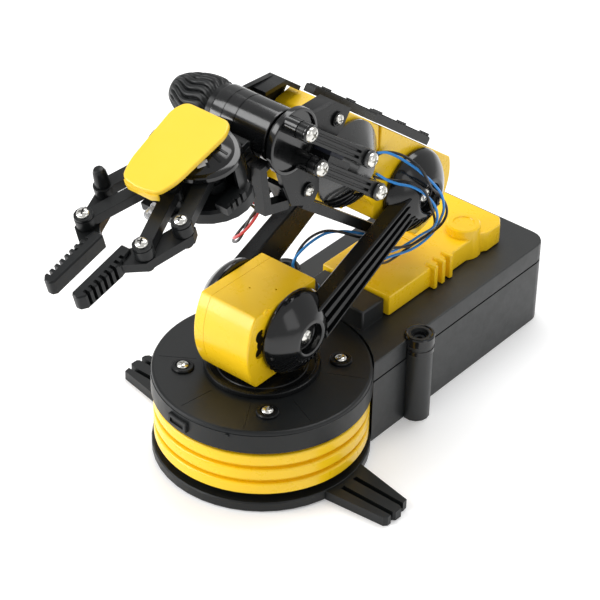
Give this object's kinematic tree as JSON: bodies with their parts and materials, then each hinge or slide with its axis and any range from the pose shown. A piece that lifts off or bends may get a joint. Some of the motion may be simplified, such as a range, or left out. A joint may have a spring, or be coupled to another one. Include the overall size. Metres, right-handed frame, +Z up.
{
  "type": "robot arm kit",
  "caption": "Desktop robot arm kit: geared-motor joints, two-finger gripper with lamp, and a round turntable base joined to a battery box.",
  "frame": {"origin": "centre of the turntable at the underside of the base", "axes": "+Z up; +Y back along the battery box, with the arm pointing to -Y; +X to the arm's right"},
  "size_m": [0.1692, 0.2983, 0.1952],
  "materials": {
    "black_plastic": "semi-gloss moulded black",
    "yellow_plastic": "glossy moulded yellow",
    "matte_black_plastic": "fine matt texture",
    "zinc_steel": "bright zinc",
    "circuit_board": "green solder mask",
    "white_nylon": "natural nylon",
    "cell_jacket": "shrink film",
    "lead_insulation": "blue and black twisted pair",
    "red_lead_insulation": "red and black twisted pair",
    "clear_lamp": "water-clear resin"
  },
  "bodies": {
    "base": {"foot_plate": "black_plastic", "yellow_ring_1": "yellow_plastic", "yellow_ring_2": "yellow_plastic", "yellow_ring_3": "yellow_plastic", "top_housing": "black_plastic", "battery_box": "black_plastic", "box_lid": "black_plastic", "battery_door": "black_plastic", "battery_cell_1": "cell_jacket", "battery_cell_2": "cell_jacket", "battery_cell_3": "cell_jacket", "battery_cell_4": "cell_jacket", "front_contact": "zinc_steel", "rear_contact": "zinc_steel", "control_cover": "yellow_plastic", "control_board": "circuit_board", "base_motor": "zinc_steel", "base_lead": "lead_insulation"},
    "pinion": {"base_pinion": "white_nylon"},
    "turntable": {"turntable": "black_plastic", "shoulder_housing_left": "yellow_plastic", "shoulder_housing_right": "yellow_plastic", "shoulder_motor": "zinc_steel"},
    "upper_arm": {"upper_arm_beam_left": "black_plastic", "upper_arm_beam_right": "black_plastic", "shoulder_hub_left": "black_plastic", "shoulder_hub_right": "black_plastic", "elbow_hub_left": "black_plastic", "elbow_hub_right": "black_plastic", "shoulder_shaft": "zinc_steel", "elbow_shaft": "zinc_steel", "shoulder_lead": "lead_insulation"},
    "forearm": {"elbow_housing_left": "yellow_plastic", "elbow_housing_right": "yellow_plastic", "wrist_housing_left": "yellow_plastic", "wrist_housing_right": "yellow_plastic", "wrist_bracket_left": "black_plastic", "wrist_bracket_right": "black_plastic", "top_rail_left": "black_plastic", "top_rail_right": "black_plastic", "elbow_motor": "zinc_steel", "wrist_motor": "zinc_steel", "elbow_lead": "lead_insulation", "wrist_lead": "lead_insulation"},
    "wrist_hub": {"wrist_hub": "black_plastic"},
    "link_bar_upper": {"link_bar_upper": "black_plastic"},
    "link_bar_lower": {"link_bar_lower": "black_plastic"},
    "gripper": {"wrist_drum": "black_plastic", "drum_cap": "black_plastic", "gripper_motor": "zinc_steel", "gripper_frame": "matte_black_plastic", "gripper_cover": "yellow_plastic", "led": "clear_lamp", "gripper_lead": "red_lead_insulation"},
    "drive_link_left": {"drive_link_left": "matte_black_plastic"},
    "drive_link_right": {"drive_link_right": "matte_black_plastic"},
    "idler_link_left": {"idler_link_left": "matte_black_plastic"},
    "idler_link_right": {"idler_link_right": "matte_black_plastic"},
    "finger_left": {"finger_left": "matte_black_plastic"},
    "finger_right": {"finger_right": "matte_black_plastic"}
  },
  "joints": [
    {"name": "base_turn", "type": "hinge", "parent": "base", "child": "turntable", "pos_m": [0, 0, 0.0465], "axis": [0, 0, 1], "range_deg": [-135, 135], "deforming": ["base_lead"]},
    {"name": "pinion_spin", "type": "hinge", "parent": "base", "child": "pinion", "pos_m": [0, -0.0336, 0.033], "axis": [0, 0, 1], "range_deg": [-405, 405]},
    {"name": "shoulder_lift", "type": "hinge", "parent": "turntable", "child": "upper_arm", "pos_m": [-0.0025, 0.0033, 0.072], "axis": [1, 0, 0], "range_deg": [-8, 70], "deforming": ["shoulder_lead"]},
    {"name": "elbow_bend", "type": "hinge", "parent": "upper_arm", "child": "forearm", "pos_m": [-0.0025, 0.0898, 0.107], "axis": [-1, 0, 0], "range_deg": [-20, 140], "deforming": ["elbow_lead", "wrist_lead"]},
    {"name": "wrist_tilt", "type": "hinge", "parent": "forearm", "child": "gripper", "pos_m": [-0.0025, -0.0041, 0.17879], "axis": [-1, 0, 0], "range_deg": [-4, 116], "deforming": ["gripper_lead"]},
    {"name": "wrist_hub_turn", "type": "hinge", "parent": "forearm", "child": "wrist_hub", "pos_m": [0.021, 0.03912, 0.14575], "axis": [-1, 0, 0], "range_deg": [-4, 116]},
    {"name": "link_bar_upper_swing", "type": "hinge", "parent": "wrist_hub", "child": "link_bar_upper", "pos_m": [0.0317, 0.03521, 0.15625], "axis": [-1, 0, 0], "range_deg": [-116, 4]},
    {"name": "link_bar_lower_swing", "type": "hinge", "parent": "wrist_hub", "child": "link_bar_lower", "pos_m": [0.0317, 0.04302, 0.13525], "axis": [-1, 0, 0], "range_deg": [-116, 4]},
    {"name": "gripper_grip", "type": "hinge", "parent": "gripper", "child": "drive_link_right", "pos_m": [0.0049, -0.03919, 0.16873], "axis": [0, -0.2756, 0.9613], "range_deg": [-8.5, 36]},
    {"name": "drive_link_left_swing", "type": "hinge", "parent": "gripper", "child": "drive_link_left", "pos_m": [-0.0169, -0.03919, 0.16873], "axis": [0, -0.2756, 0.9613], "range_deg": [-36, 8.5]},
    {"name": "idler_link_right_swing", "type": "hinge", "parent": "gripper", "child": "idler_link_right", "pos_m": [-0.0008, -0.05697, 0.16363], "axis": [0, -0.2756, 0.9613], "range_deg": [-8.5, 36]},
    {"name": "idler_link_left_swing", "type": "hinge", "parent": "gripper", "child": "idler_link_left", "pos_m": [-0.0112, -0.05697, 0.16363], "axis": [0, -0.2756, 0.9613], "range_deg": [-36, 8.5]},
    {"name": "finger_right_swing", "type": "hinge", "parent": "drive_link_right", "child": "finger_right", "pos_m": [0.01653, -0.0699, 0.15992], "axis": [0, -0.2756, 0.9613], "range_deg": [-36, 8.5]},
    {"name": "finger_left_swing", "type": "hinge", "parent": "drive_link_left", "child": "finger_left", "pos_m": [-0.02853, -0.0699, 0.15992], "axis": [0, -0.2756, 0.9613], "range_deg": [-8.5, 36]}
  ],
  "couplings": [
    {"joint": "pinion_spin", "follows": "base_turn", "ratio": -3},
    {"joint": "wrist_hub_turn", "follows": "wrist_tilt", "ratio": 1},
    {"joint": "link_bar_upper_swing", "follows": "wrist_tilt", "ratio": -1},
    {"joint": "link_bar_lower_swing", "follows": "wrist_tilt", "ratio": -1},
    {"joint": "drive_link_left_swing", "follows": "gripper_grip", "ratio": -1},
    {"joint": "idler_link_right_swing", "follows": "gripper_grip", "ratio": 1},
    {"joint": "idler_link_left_swing", "follows": "gripper_grip", "ratio": -1},
    {"joint": "finger_right_swing", "follows": "gripper_grip", "ratio": -1},
    {"joint": "finger_left_swing", "follows": "gripper_grip", "ratio": 1}
  ]
}
